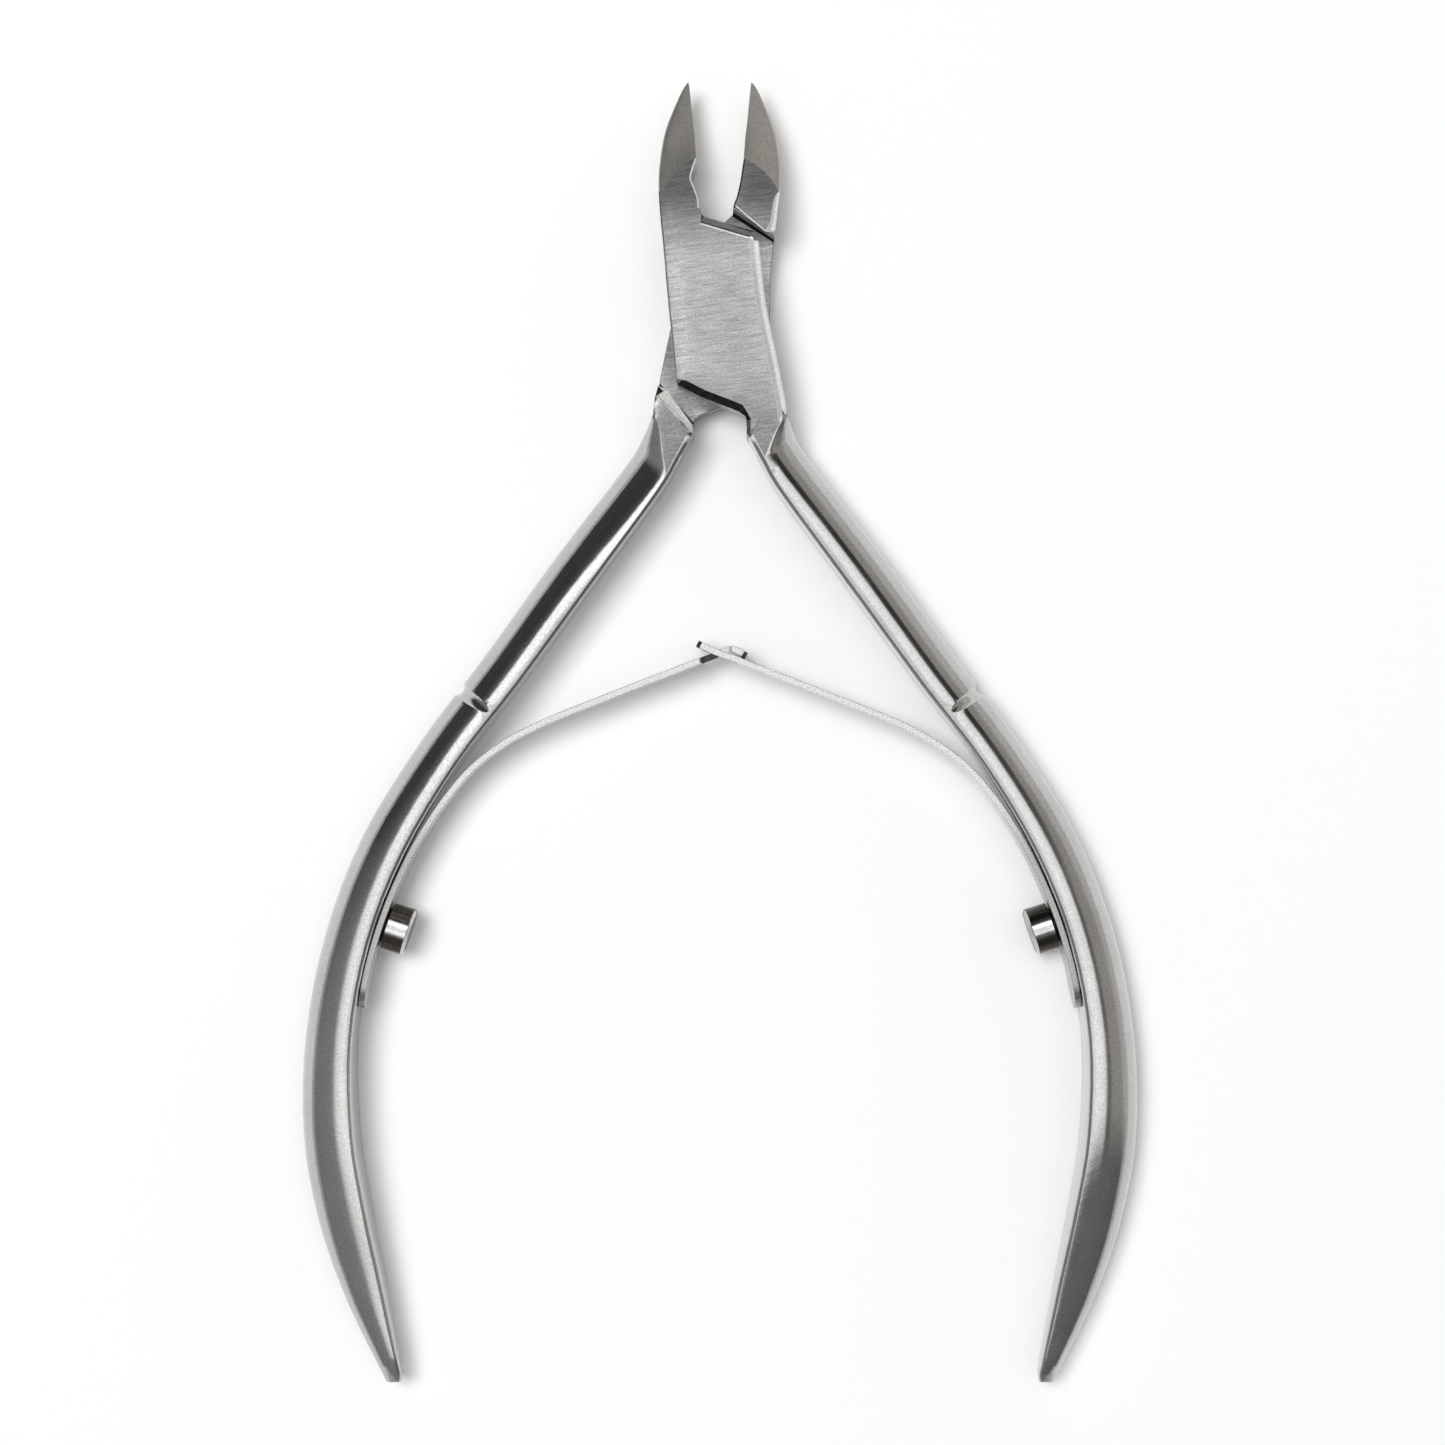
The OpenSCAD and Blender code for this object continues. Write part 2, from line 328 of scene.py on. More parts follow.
def milled_steel():
    """Walls of the recess: bright from the cutter, with fine marks along them and painted shade that
    darkens them towards their root.
    """
    m, tree, shader = material("milled_steel", (0.75, 0.75, 0.73), 0.35)
    marks = noise(tree, 1400, stretch=(0.3, 5, 1), turn=math.radians(-40), detail=4)
    grain = noise(tree, 6500, detail=3)
    tone = ramp(tree, marks, (0.6, 0.6, 0.59), (0.95, 0.95, 0.93))
    # Painted shade: the walls darker below y 0, fully from y -4 mm.
    root = ramp(tree, along(tree, "Y", 0.0, -0.004), (1.0, 1.0, 1.0), (0.68, 0.68, 0.67), 0.0, 1.0)
    fine = ramp(tree, grain, (0.78, 0.78, 0.78), (1.18, 1.18, 1.18))
    tree.links.new(multiply(tree, multiply(tree, tone, fine), root), shader.inputs["Base Color"])
    tree.links.new(ramp(tree, marks, 0.28, 0.42), shader.inputs["Roughness"])
    bump(tree, shader, marks, 3e-6)
    return m


def polished_steel():
    """Handles and edges: polished, with fine scratches across and a faint orange peel."""
    m, tree, shader = material("polished_steel", (0.72, 0.72, 0.71), 0.2)
    scratches = noise(tree, 1100, stretch=(0.12, 2.4, 1), turn=math.radians(30), detail=5)
    wear = noise(tree, 240, detail=4)
    tree.links.new(ramp(tree, wear, 0.07, 0.14), shader.inputs["Roughness"])
    fine = ramp(tree, noise(tree, 6500, detail=2), (0.84, 0.84, 0.84), (1.12, 1.12, 1.12))
    tone = ramp(tree, wear, (0.51, 0.51, 0.5), (0.57, 0.57, 0.56))
    tree.links.new(multiply(tree, tone, fine), shader.inputs["Base Color"])
    first = bump(tree, shader, scratches, 4e-6)
    bump(tree, shader, wear, 3e-6, first)
    return m


def spring_steel():
    """Leaves: bright strip, with speckled edges cut by shearing, and painted shade that darkens them below
    y -37 to -44 mm.
    """
    m, tree, shader = material("spring_steel", (0.75, 0.75, 0.74), 0.28)
    speckle = noise(tree, 8000, detail=3)
    rolled = noise(tree, 700, stretch=(1, 1, 0.1), detail=4)
    tree.links.new(ramp(tree, speckle, 0.2, 0.42), shader.inputs["Roughness"])
    # Painted shade: the leaves darker below y -37 mm, fully from y -44 mm.
    darkened = ramp(tree, along(tree, "Y", -0.037, -0.044), (1.0, 1.0, 1.0), (0.62, 0.62, 0.62), 0.0, 1.0)
    tone = ramp(tree, speckle, (0.55, 0.55, 0.54), (1.0, 1.0, 0.99))
    tree.links.new(multiply(tree, tone, darkened), shader.inputs["Base Color"])
    first = bump(tree, shader, speckle, 4e-6)
    bump(tree, shader, rolled, 2e-6, first)
    return m


def turned_steel():
    """Screws: turned and polished. Fault: their colour follows the view, a painted highlight where they
    face it and painted brown shade where they slope away.
    """
    m, tree, shader = material("turned_steel", (0.6, 0.6, 0.6), 0.15)
    rings = noise(tree, 1600, detail=4)
    # Painted highlight and painted shade: the base colour goes from bright where the surface faces the view
    # to dark brown where it slopes away.
    weight = tree.nodes.new("ShaderNodeLayerWeight")
    slope = ramp(tree, weight.outputs["Facing"], (0.88, 0.89, 0.92), (0.12, 0.107, 0.094), 0.012, 0.1)
    turned = ramp(tree, rings, (0.7, 0.7, 0.7), (1.05, 1.05, 1.05))
    tree.links.new(multiply(tree, slope, turned), shader.inputs["Base Color"])
    tree.links.new(ramp(tree, rings, 0.08, 0.18), shader.inputs["Roughness"])
    bump(tree, shader, rings, 2e-6)
    return m


BRUSHED, GROUND, POLISHED = brushed_steel(), ground_steel(), polished_steel()
# Painted shade: near-black steel where shade falls in the lap's corners and recess, on its lower chamfer
# and under the screw heads.
PAINTED_SHADE = dark_steel("dark_steel", (0.02, 0.019, 0.018), (0.08, 0.075, 0.068))
# The leaves' darker steel: their tip ends, cut by shearing, and painted shade on the left leaf's neck.
SHEAR_AND_SHADE = dark_steel("sheared_and_shaded_steel", (0.08, 0.076, 0.07), (0.2, 0.19, 0.178))
SPRING, TURNED, MILLED = spring_steel(), turned_steel(), milled_steel()
# The materials of a half, and which of them a face has.
HALF_MATERIALS = [BRUSHED, GROUND, POLISHED, PAINTED_SHADE, MILLED, POLISHED]
IS_BRUSHED, IS_GROUND, IS_POLISHED, IS_PAINTED_SHADE, IS_MILLED, GROOVE_SLOT = range(6)


# ---------------------------------------------------------------- the two halves

# What a station of a half holds: a is the left or inner outline, b the right or outer one, top and
# bottom are its two faces. bulge bows the faces along the half, and square turns the edges from the
# outline's own normal to straight across. Each edge has a run in from the outline, a fall from the
# face, and shares of four shapes: the rest of them is a plain round that reaches an angle.
EDGES = ("a", "b", "a_low", "b_low")
EDGE_FIELDS = ("run", "fall", "reach", "soft", "bevel", "ledge", "chamfer")
FIELDS = ("ax", "ay", "bx", "by", "top", "bottom", "bulge", "square")
FIELDS += tuple(f + "_" + e for e in EDGES for f in EDGE_FIELDS)
EDGE_STEPS = 8
FACE_STEPS = 4
# Edge shapes from the side in to the face: (share of the run, share of the fall).
SOFT = [(0, 1), (0, 0.75), (0.01, 0.56), (0.03, 0.5), (0.1, 0.44),
        (0.3, 0.29), (0.5, 0.14), (0.75, 0.03), (1, 0)]
BEVEL = [(0, 1), (0, 0.55), (0.08, 0.5), (0.1, 0.38), (0.5, 0.17),
         (0.53, 0.07), (0.85, 0), (0.93, 0.04), (1, 0)]
LEDGE = [(0, 1), (0.03, 0.9), (0.15, 0.74), (0.35, 0.47), (0.55, 0.22),
         (0.66, 0.1), (0.78, 0.05), (0.9, 0), (1, 0)]
CHAMFER = [(0, 1), (0.03, 0.96), (0.1, 0.88), (0.35, 0.62), (0.6, 0.36),
           (0.85, 0.1), (0.92, 0.04), (0.96, 0.01), (1, 0)]


def edge(which, run, fall, reach=70.0, soft=0.0, bevel=0.0, ledge=0.0, chamfer=0.0):
    """The values of one of a station's EDGES, or of a and a_low together for a_both."""
    values = dict(run=run, fall=fall, reach=reach, soft=soft, bevel=bevel, ledge=ledge, chamfer=chamfer)
    names = ("a", "a_low") if which == "a_both" else (which,)
    return {f + "_" + n: v for n in names for f, v in values.items()}


def station(a, b, *edges, **more):
    """One station as numbers in the order of FIELDS."""
    values = dict(top=TOP, bottom=BOTTOM, bulge=0.0, square=0.0)
    values.update(edge("a_both", 0.35, 0.3))
    values.update(edge("b", 0.75, 0.26, bevel=1.0))
    values.update(edge("b_low", 0.4, 0.13, bevel=1.0))
    for e in edges:
        values.update(e)
    values.update(ax=a[0], ay=a[1], bx=b[0], by=b[1])
    values.update(more)
    return [values[f] for f in FIELDS]


# The ground faces of a jaw fall from its shoulder to its point.
GROUND_Y = 9.8
POINT_Y = 18.88
POINT_HALF = 0.5
GROUND_STEP = 0.14


def jaw_depth(y):
    """Half the thickness of a jaw at y."""
    share = (y - GROUND_Y) / (POINT_Y - GROUND_Y)
    return (MID - GROUND_STEP) + (POINT_HALF - MID + GROUND_STEP) * share


def jaw_station(a, b, front, **more):
    """A station of the ground jaw: its front is flat to the cutting edge, its back is bevelled."""
    half = jaw_depth((a[1] + b[1]) / 2)
    width = math.dist(a, b)
    outer = edge("a_both", min(0.3, 0.2 * width), min(0.3, 0.2 * width))
    face, back = ("b", "b_low") if front > 0 else ("b_low", "b")
    sharp = edge(face, 0.02, 0.02, 60.0)
    ground = edge(back, min(0.62 * width, 1.5), 1.9 * half - 0.05, 12.0)
    return station(a, b, outer, sharp, ground, top=MID + half - 0.01, bottom=MID - half + 0.01, **more)


def jaw_stations(front):
    """From the point of the jaw to the shoulder where the ground faces end."""
    outer = [(-2.62, 18.86), (-2.8, 18.6), (-3.16, 17.95), (-3.72, 16.64), (-4.2, 15.36), (-4.52, 14.1),
             (-4.76, 12.4), (-4.8, 11.3), (-4.77, 10.45), (-4.73, 9.93)]
    inner = [(-2.49, 18.86), (-2.46, 18.6), (-2.39, 17.95), (-2.27, 16.64), (-2.14, 15.36), (-2.02, 14.4),
             (-1.95, 13.4), (-1.91, 12.9), (-1.89, 12.65), (-1.88, 12.5)]
    bulges = [0, 0, 0, 0, 0, 0.08, 0.2, 0.28, 0.31, 0.32]
    return [jaw_station(a, b, front, bulge=g) for a, b, g in zip(outer, inner, bulges)]


def neck_stations(mouth):
    """From the shoulder of the jaw down to the lap recess, full thickness."""
    outer = [(-4.72, 9.8), (-4.69, 9.45), (-4.64, 8.95), (-4.57, 8.3), (-4.49, 7.6), (-4.42, 7.0)]
    bulges = [0.32, 0.3, 0.2, 0.1, 0, 0]
    soft_runs = [0.3, 0.5, 0.9, 1.4, 1.7, 1.8]
    flanks = [0.08, 0.3, 0.42, 0.45, 0.48, 0.6]
    out = []
    for a, b, bulge, run, flank in zip(outer, mouth, bulges, soft_runs, flanks):
        soft_side = edge("a", run, 0.24 * run, soft=1.0)
        flank_side = edge("a_low", flank, 0.36 * flank, bevel=1.0)
        out.append(station(a, b, soft_side, flank_side, MOUTH_EDGES, bulge=bulge))
    return out


# The outer side of a half: softly rounded on its front, flanked by a bevel on its back.
SIDE_SOFT = edge("a", 1.8, 0.42, soft=1.0)
SIDE_FLANK = edge("a_low", 0.8, 0.26, bevel=1.0)
MOUTH_EDGES = {**edge("b", 0.1, 0.034, bevel=1.0), **edge("b_low", 0.15, 0.12)}
LAP_EDGES = {**edge("a_low", 0.04, 0.04), **edge("b_low", 0.04, 0.04)}
# A wall of the recess starts just past the face and ends below the lap plane, in a narrow groove.
WALL_TOP = BOTTOM + 0.001
WALL_FOOT = LAP + 0.25
NOTCH = 0.06
# Shares of the way from the top line of a wall to its foot, at a and at b, the depth there, and how
# far the notch at the outer end reaches in.
STEEP_WALL = [(0, 0, WALL_TOP, NOTCH), (0.26, 0.26, 0.035, NOTCH), (0.3, 0.3, 0.9, NOTCH),
              (0.5, 0.5, 0.93, NOTCH), (0.54, 0.54, 1.8, NOTCH), (0.7, 0.7, 1.83, NOTCH),
              (0.74, 0.74, 2.87, NOTCH), (0.76, 0.76, WALL_FOOT, NOTCH), (1, 1, WALL_FOOT, NOTCH)]
SLOPED_WALL = [(0, 0, WALL_TOP, NOTCH), (0.06, 0.06, 0.08, NOTCH), (0.36, 0.14, 0.09, 0.12),
               (0.4, 0.18, 0.35, 0.15), (0.66, 0.6, 0.37, 0.75), (0.72, 0.7, 0.41, NOTCH),
               (0.73, 0.78, WALL_FOOT, NOTCH), (1, 1, WALL_FOOT, NOTCH)]


def wall_stations(steps, top_a, top_b, foot_a, foot_b, *edges):
    """Stations down the stepped wall of the recess, from its top line to its foot."""
    out = []
    for share_a, share_b, depth, notch in steps:
        a = np.add(np.multiply(top_a, 1 - share_a), np.multiply(foot_a, share_a))
        b = np.add(np.multiply(top_b, 1 - share_b), np.multiply(foot_b, share_b))
        own = list(edges)
        if depth > 0.04:
            own += [edge("a_low", 0.06, 0.05), edge("b_low", notch, 0.8 * notch, chamfer=1.0)]
        out.append(station(a, b, *own, bottom=depth))
    return out


def plate_stations(foot, after):
    """The lap plate, from the foot of one wall of its recess to the foot of the other."""
    ledge = edge("b", 0.8, 0.38, ledge=1.0)
    corner = edge("b", 0.78, 0.32, ledge=0.5, bevel=0.5)
    # The chamfers along the lap's lower edge get near-black steel in face_slot, as painted shade.
    dark_start = edge("a", 0.5, 0.34, chamfer=1.0)
    dark = edge("a", 0.58, 0.42, chamfer=1.0)
    dark_end = edge("a", 0.3, 0.3, chamfer=1.0)
    upper = [station((-4.3, 6.2), foot, SIDE_SOFT, ledge, LAP_EDGES, bottom=LAP),
             station((-4.2, 5.4), after, SIDE_SOFT, ledge, LAP_EDGES, bottom=LAP),
             station((-4.1, 4.6), (1.2, 7.15), SIDE_SOFT, ledge, LAP_EDGES, bottom=LAP),
             station((-4.04, 3.8), (2.42, 6.8), SIDE_SOFT, ledge, LAP_EDGES, bottom=LAP),
             station((-4.01, 3.1), (2.95, 6.64), SIDE_SOFT, corner, LAP_EDGES, bottom=LAP)]
    side = [station((-4.0, 2.5), (3.04, 6.1), SIDE_SOFT, LAP_EDGES, bottom=LAP),
            station((-4.0, 1.6), (3.15, 5.0), SIDE_SOFT, LAP_EDGES, bottom=LAP),
            station((-3.98, 0.5), (3.53, 1.6), SIDE_SOFT, LAP_EDGES, bottom=LAP),
            station((-3.86, -1.2), (3.92, -0.6), SIDE_SOFT, LAP_EDGES, bottom=LAP),
            station((-3.68, -3.2), (4.38, -2.7), SIDE_SOFT, LAP_EDGES, bottom=LAP),
            station((-3.5, -4.6), (4.68, -4.2), edge("a", 0.9, 0.22, soft=1.0), LAP_EDGES, bottom=LAP)]
    lower = [station((-3.44, -5.05), (4.74, -4.45), edge("a", 0.45, 0.12, soft=1.0), LAP_EDGES, bottom=LAP),
             station((-3.36, -5.42), (4.76, -4.55), dark_start, LAP_EDGES, bottom=LAP),
             station((-2.9, -5.68), (4.77, -4.62), dark, LAP_EDGES, bottom=LAP),
             station((-1.4, -6.45), (4.79, -4.75), dark, LAP_EDGES, bottom=LAP),
             station((0.9, -7.33), (4.81, -4.9), dark, LAP_EDGES, bottom=LAP),
             station((1.5, -7.58), (4.82, -4.96), dark, LAP_EDGES, bottom=LAP),
             station((2.0, -7.95), (4.83, -5.0), dark_end, LAP_EDGES, bottom=LAP),
             station((2.11, -8.23), (4.84, -5.06), dark_end, LAP_EDGES, bottom=LAP)]
    return upper, side, lower


# Opposite points of a handle, inner face then outer back, from the lap to the end.
INNER = [(2.3, -9.6), (3.25, -11.35), (4.9, -14.2), (10.2, -21.4), (15.9, -29.2), (20.75, -35.5),
         (25, -42.6), (27.8, -49.8), (29.15, -57.3), (29.05, -64.8), (28.05, -71.1), (26.85, -76.9),
         (25.42, -84.28)]
OUTER = [(5.31, -7.84), (6.25, -9.8), (7.9, -12.2), (13.2, -19.1), (18.9, -27), (23.8, -33.5),
         (28.5, -41.1), (31.5, -48.9), (33.1, -57), (33.3, -65), (32.1, -72), (29.9, -78.3),
         (26.9, -84.45)]
# The small flat at the very end of a handle, and half its depth.
TIP_INNER = (25.52, -84.88)
TIP_OUTER = (26.66, -84.93)
TIP_HALF = 0.32
# Half the depth of a handle up to its belly, and the value it falls to at the end.
HANDLE_HALF = MID - 0.03
END_HALF = 1.08
BELLY = 9.0
# Where the flats' V starts, the lap's bevel has run out, and the chamfer of the inner face has too.
CORNER = 0.12
BEVEL_END = 0.4
LEAD_END = 2.2
# Where the last slope down to the end starts, and how far it falls.
SLOPE_FROM = 11.8
SLOPE_FALL = 0.36
# The index groove: its place along the stations, how far round the back it reaches, its half width
# and its depth on the outer side.
GROOVE_AT = 4.38
GROOVE_REACH = math.radians(87)
GROOVE_HALF = 0.58
GROOVE_DEPTH = 0.33


def handle_half(u):
    """Half the depth of a handle at place u along its stations."""
    fall = max(0.0, (u - BELLY) / (len(INNER) - 1 - BELLY))
    slope = max(0.0, (u - SLOPE_FROM) / (len(INNER) - 1 - SLOPE_FROM))
    return HANDLE_HALF - (HANDLE_HALF - END_HALF) * fall ** 1.4 - SLOPE_FALL * slope


def handle_station(u, point, half, face_v, back_v):
    """A station of the handle: flat inner face, round back, and near the lap a flat that ends in a V.

    face_v and back_v are the places where the V ends on the front and on the back.
    """
    ax, ay, bx, by = point
    width = math.hypot(bx - ax, by - ay)
    rim = min(0.32, 0.12 * width, 0.5 * half)
    bevel_left = max(0.0, 1 - u / BEVEL_END)
    backs = []
    # The edge, where its V ends, the angle of its crease there, and its least run.
    for which, v, crease, lip in (("b", face_v, 78.0, 0.75), ("b_low", back_v, 62.0, 0.4)):
        share = min(1.0, max(0.0, u - CORNER) / (v - CORNER))
        crease += (90.0 - crease) * min(1.0, max(0.0, (u - v) / 1.5))
        run = max(lip, 0.38 + (width - rim - 0.4) * share)
        backs.append(edge(which, run, 0.28 + (half - 0.29) * share, crease, bevel=bevel_left))
    lead = max(0.0, 1 - u / LEAD_END)
    run = rim * (1 - lead) + 0.38 * lead
    fall = rim * (1 - lead) + 0.07 * lead
    inner = edge("a_both", run, fall, 60.0, chamfer=lead)
    return station((ax, ay), (bx, by), inner, *backs,
                   top=MID + half, bottom=MID - half, square=min(1.0, u))


def handle_stations(face_v, back_v):
    """The whole handle, with close stations over the flats' V and at the end."""
    steps = 24
    line = spline([(*a, *b) for a, b in zip(INNER, OUTER)], steps)
    last = len(INNER) - 1
    places = [*np.arange(0, 2, 0.125), *np.arange(2, last - 1, 0.25), *np.arange(last - 1, last, 0.1)]
    places += [SLOPE_FROM + 0.01, last]
    places.sort()
    out = []
    for u in places:
        i = min(int(u * steps), len(line) - 2)
        t = u * steps - i
        point = line[i] * (1 - t) + line[i + 1] * t
        out.append((u, handle_station(u, point, handle_half(u), face_v, back_v)))
    tip = (*TIP_INNER, *TIP_OUTER)
    out.append((last, handle_station(last, tip, TIP_HALF, face_v, back_v)))
    return out


def smooth_run(stations, steps):
    """A run of stations with smooth stations put between them."""
    return [list(s) for s in spline(stations, steps)]


# How much wider the front half is on its outer side than the rear half, at some y.
FRONT_SIDE = ([-1.2, 1.2, 2.8, 4.4, 6.8, 9.5, 12.4], [0, 0.11, 0.27, 0.32, 0.24, 0.15, 0])


def half_outline(front):
    """All the stations of one half with its jaw on the left.

    Gives the stations, the zone of each, its place on the handle, and where the flats' V ends.
    """
    if front > 0:
        mouth = [(-1.89, 12.38), (-2.16, 11.6), (-2.32, 10.9), (-2.08, 10.2), (-1.76, 9.3), (-1.7, 8.75)]
        top_b, foot_b, foot, after = (-1.66, 8.5), (-1.42, 8.0), (-1.3, 7.9), (-0.6, 7.68)
    else:
        mouth = [(-1.87, 12.38), (-1.76, 11.6), (-1.64, 10.8), (-1.48, 10.0), (-1.3, 9.3), (-1.14, 8.95)]
        top_b, foot_b, foot, after = (-1.1, 8.75), (-1.0, 8.4), (-0.95, 8.33), (-0.3, 7.72)
    jaw = smooth_run(jaw_stations(front), 3)
    neck = smooth_run(neck_stations(mouth), 4)
    upper, side, lower = plate_stations(foot, after)
    sides = (SIDE_SOFT, SIDE_FLANK, MOUTH_EDGES)
    recess = wall_stations(STEEP_WALL, (-4.36, 6.62), top_b, (-4.31, 6.28), foot_b, *sides)
    root = wall_stations(SLOPED_WALL, (2.13, -9.3), (5.15, -6.5), (2.14, -8.28), (4.85, -5.1))[::-1]
    root.append(station((2.2, -9.45), (5.24, -7.2)))
    flats = (1.0, 1.65)
    handle = handle_stations(*flats)
    runs = [(jaw, "jaw"), (neck, "plate"), (recess, "plate"), (upper, "plate"),
            (smooth_run(side, 3), "plate"), (lower, "plate"), (root, "plate")]
    stations = [s for run, _ in runs for s in run] + [s for _, s in handle]
    if front > 0:
        for s in stations[:len(stations) - len(handle)]:
            s[0] -= np.interp(s[1], *FRONT_SIDE)
    zones = [zone for run, zone in runs for _ in run] + ["handle"] * len(handle)
    places = [-1.0] * (len(stations) - len(handle)) + [u for u, _ in handle]
    return np.array(stations), zones, places, flats


def edge_points(v, which, side, inward, face):
    """Points from the side of an edge up to its face, a blend of the edge's shapes."""
    run, fall, reach, soft, bevel, ledge, chamfer = (v[f + "_" + which] for f in EDGE_FIELDS)
    reach = math.radians(reach)
    points = []
    for k in range(EDGE_STEPS + 1):
        a = reach * k / EDGE_STEPS
        plain = ((1 - math.cos(a)) / (1 - math.cos(reach)), 1 - math.sin(a) / math.sin(reach))
        shapes = ((1 - soft - bevel - ledge - chamfer, plain), (soft, SOFT[k]), (bevel, BEVEL[k]),
                  (ledge, LEDGE[k]), (chamfer, CHAMFER[k]))
        step_in = run * sum(w * shape[0] for w, shape in shapes)
        down = fall * sum(w * shape[1] for w, shape in shapes)
        x, y = side + inward * step_in
        points.append((x, y, face + math.copysign(down, MID - face)))
    return points


def half_ring(s, normal_a, normal_b):
    """The closed ring of one station, over the front from a to b, then back under it."""
    v = dict(zip(FIELDS, s))
    a, b = np.array([v["ax"], v["ay"]]), np.array([v["bx"], v["by"]])
    across = unit(b - a)
    in_a = unit(normal_a * (1 - v["square"]) + across * v["square"])
    in_b = unit(normal_b * (1 - v["square"]) - across * v["square"])
    ring = []
    for suffix, face in (("", v["top"]), ("_low", v["bottom"])):
        rise = edge_points(v, "a" + suffix, a, in_a, face)
        fall = edge_points(v, "b" + suffix, b, in_b, face)
        start, end = np.array(rise[-1]), np.array(fall[-1])
        bow = np.array([-across[1], across[0], 0]) * v["bulge"]
        flat = []
        for k in range(1, FACE_STEPS):
            t = k / FACE_STEPS
            flat.append(tuple(start * (1 - t) + end * t + bow * 4 * t * (1 - t)))
        half = rise + flat + fall[::-1]
        ring += half if suffix == "" else half[::-1]
    return ring


def groove_cutter(front):
    """A round bar bent round the back of the handle, sunk deepest on the outer side."""
    line = spline([(*a, *b) for a, b in zip(INNER, OUTER)], 100)
    ax, ay, bx, by = line[round(GROOVE_AT * 100)]
    across = unit([bx - ax, by - ay])
    lengthways = np.array([-across[1], across[0]])
    wide = math.dist((ax, ay), (bx, by)) - 0.34
    high = HANDLE_HALF
    centre = np.array([bx, by]) - across * wide
    bar = GROOVE_HALF ** 2 / (2 * GROOVE_DEPTH) + GROOVE_DEPTH / 2
    rings = []
    for phi in np.linspace(-1.1, 1.1, 67) * GROOVE_REACH:
        surface = np.array([wide * math.cos(phi), high * math.sin(phi)])
        outward = unit([math.cos(phi) / wide, math.sin(phi) / high])
        middle = surface + outward * (bar - GROOVE_DEPTH * (1 - abs(phi / GROOVE_REACH) ** 3))
        ring = []
        for turn in np.arange(40) * math.pi / 20:
            u, z = middle + outward * bar * math.cos(turn)
            x, y = centre + across * u + lengthways * bar * math.sin(turn)
            ring.append((x * front, y, MID + z))
        rings.append(ring)
    vertices, faces, _ = skin(rings)
    return put("cutter", vertices, faces, HALF_MATERIALS, [GROOVE_SLOT] * len(faces))


# The faces of the ledge's worn rim, counted over a ring.
LEDGE_RIM = (13, 14)
# The bevels are polished below the lap's corner and, on the front, beside the mouth. The back's flank
# is polished beside the neck.
LAP_CORNER_Y = 2.6
MOUTH_Y = 6.9
NECK_Y = 6.5


def face_slot(s, after, zone, u, k, flats):
    """Which material a face has, between station s and the one after it, at k round the ring."""
    around = 2 * EDGE_STEPS + FACE_STEPS + 1
    lower = k >= around
    spot = k - around if lower else k
    low_end, high_end = spot < EDGE_STEPS, spot >= EDGE_STEPS + FACE_STEPS
    on_a, on_b = (high_end, low_end) if lower else (low_end, high_end)
    v = dict(zip(FIELDS, s))
    if zone == "handle":
        return IS_BRUSHED if not (on_a or on_b) and u < flats[lower] else IS_POLISHED
    if zone == "jaw":
        return IS_GROUND
    shallow, deep = sorted((v["bottom"], after[FIELDS.index("bottom")]))
    notched = lower and on_b and v["run_b_low"] > 0.1 and BOTTOM < shallow < LAP
    chamfered = on_a and not lower and v["chamfer_a"] > 0.5
    # Painted shade: near-black steel on the notch at a wall's outer end, on the lap's lower chamfer and in
    # the deep foot of the recess.
    if notched or chamfered or lower and deep > LAP + 0.1:
        return IS_PAINTED_SHADE
    if lower and BOTTOM < shallow < LAP - 0.1:
        return IS_MILLED
    if on_b and not lower and v["ledge_b"] > 0.4 and spot in LEDGE_RIM:
        return IS_POLISHED
    bevelled = on_b and (v["ay"] < LAP_CORNER_Y or not lower and v["ay"] > MOUTH_Y)
    flanked = on_a and lower and v["ay"] > NECK_Y
    return IS_POLISHED if bevelled or flanked else IS_BRUSHED


def half_piece(name, front):
    """One half. The rear one is made with its jaw on the left too, then turned over."""
    stations, zones, places, flats = half_outline(front)
    line_a, line_b = stations[:, 0:2], stations[:, 2:4]
    along_a, along_b = tangents(line_a), tangents(line_b)
    normal_a = np.c_[-along_a[:, 1], along_a[:, 0]]
    normal_b = np.c_[along_b[:, 1], -along_b[:, 0]]
    rings = [half_ring(s, na, nb) for s, na, nb in zip(stations, normal_a, normal_b)]
    vertices, faces, where = skin(rings)
    if front < 0:
        vertices = [(-x, y, THICK - z) for x, y, z in vertices]
    slots = []
    for i, k in where:
        slots.append(face_slot(stations[i], stations[i + 1], zones[i], places[i], k, flats))
    piece = put(name, vertices, faces, HALF_MATERIALS, slots)
    cut(piece, rivet_cutter())
    cut(piece, groove_cutter(front), GROOVE_SLOT)
    return piece


# ---------------------------------------------------------------- rivet, springs and screws

# The rivet's shank and flared ends, and the gap round it, too narrow to show as a ring.
RIVET_R = 1.6
RIVET_END_R = 2.0
RIVET_GAP = 0.004
# Lathe outlines start this far from the axis, so that their ends are whole rings.
CORE = 0.001


def rivet_cutter():
    """The rivet's own shape, wider by its gap and longer at both ends."""
    flare = RIVET_END_R - RIVET_R
    past = 0.5
    shank, wide = RIVET_R + RIVET_GAP, RIVET_END_R + RIVET_GAP
    profile = [(CORE, -past), (wide, -past), (wide, 0), (shank, flare), (shank, THICK - flare),
               (wide, THICK), (wide, THICK + past), (CORE, THICK + past)]
    vertices, faces = lathe(profile)
    return put("cutter", vertices, faces, [BRUSHED])


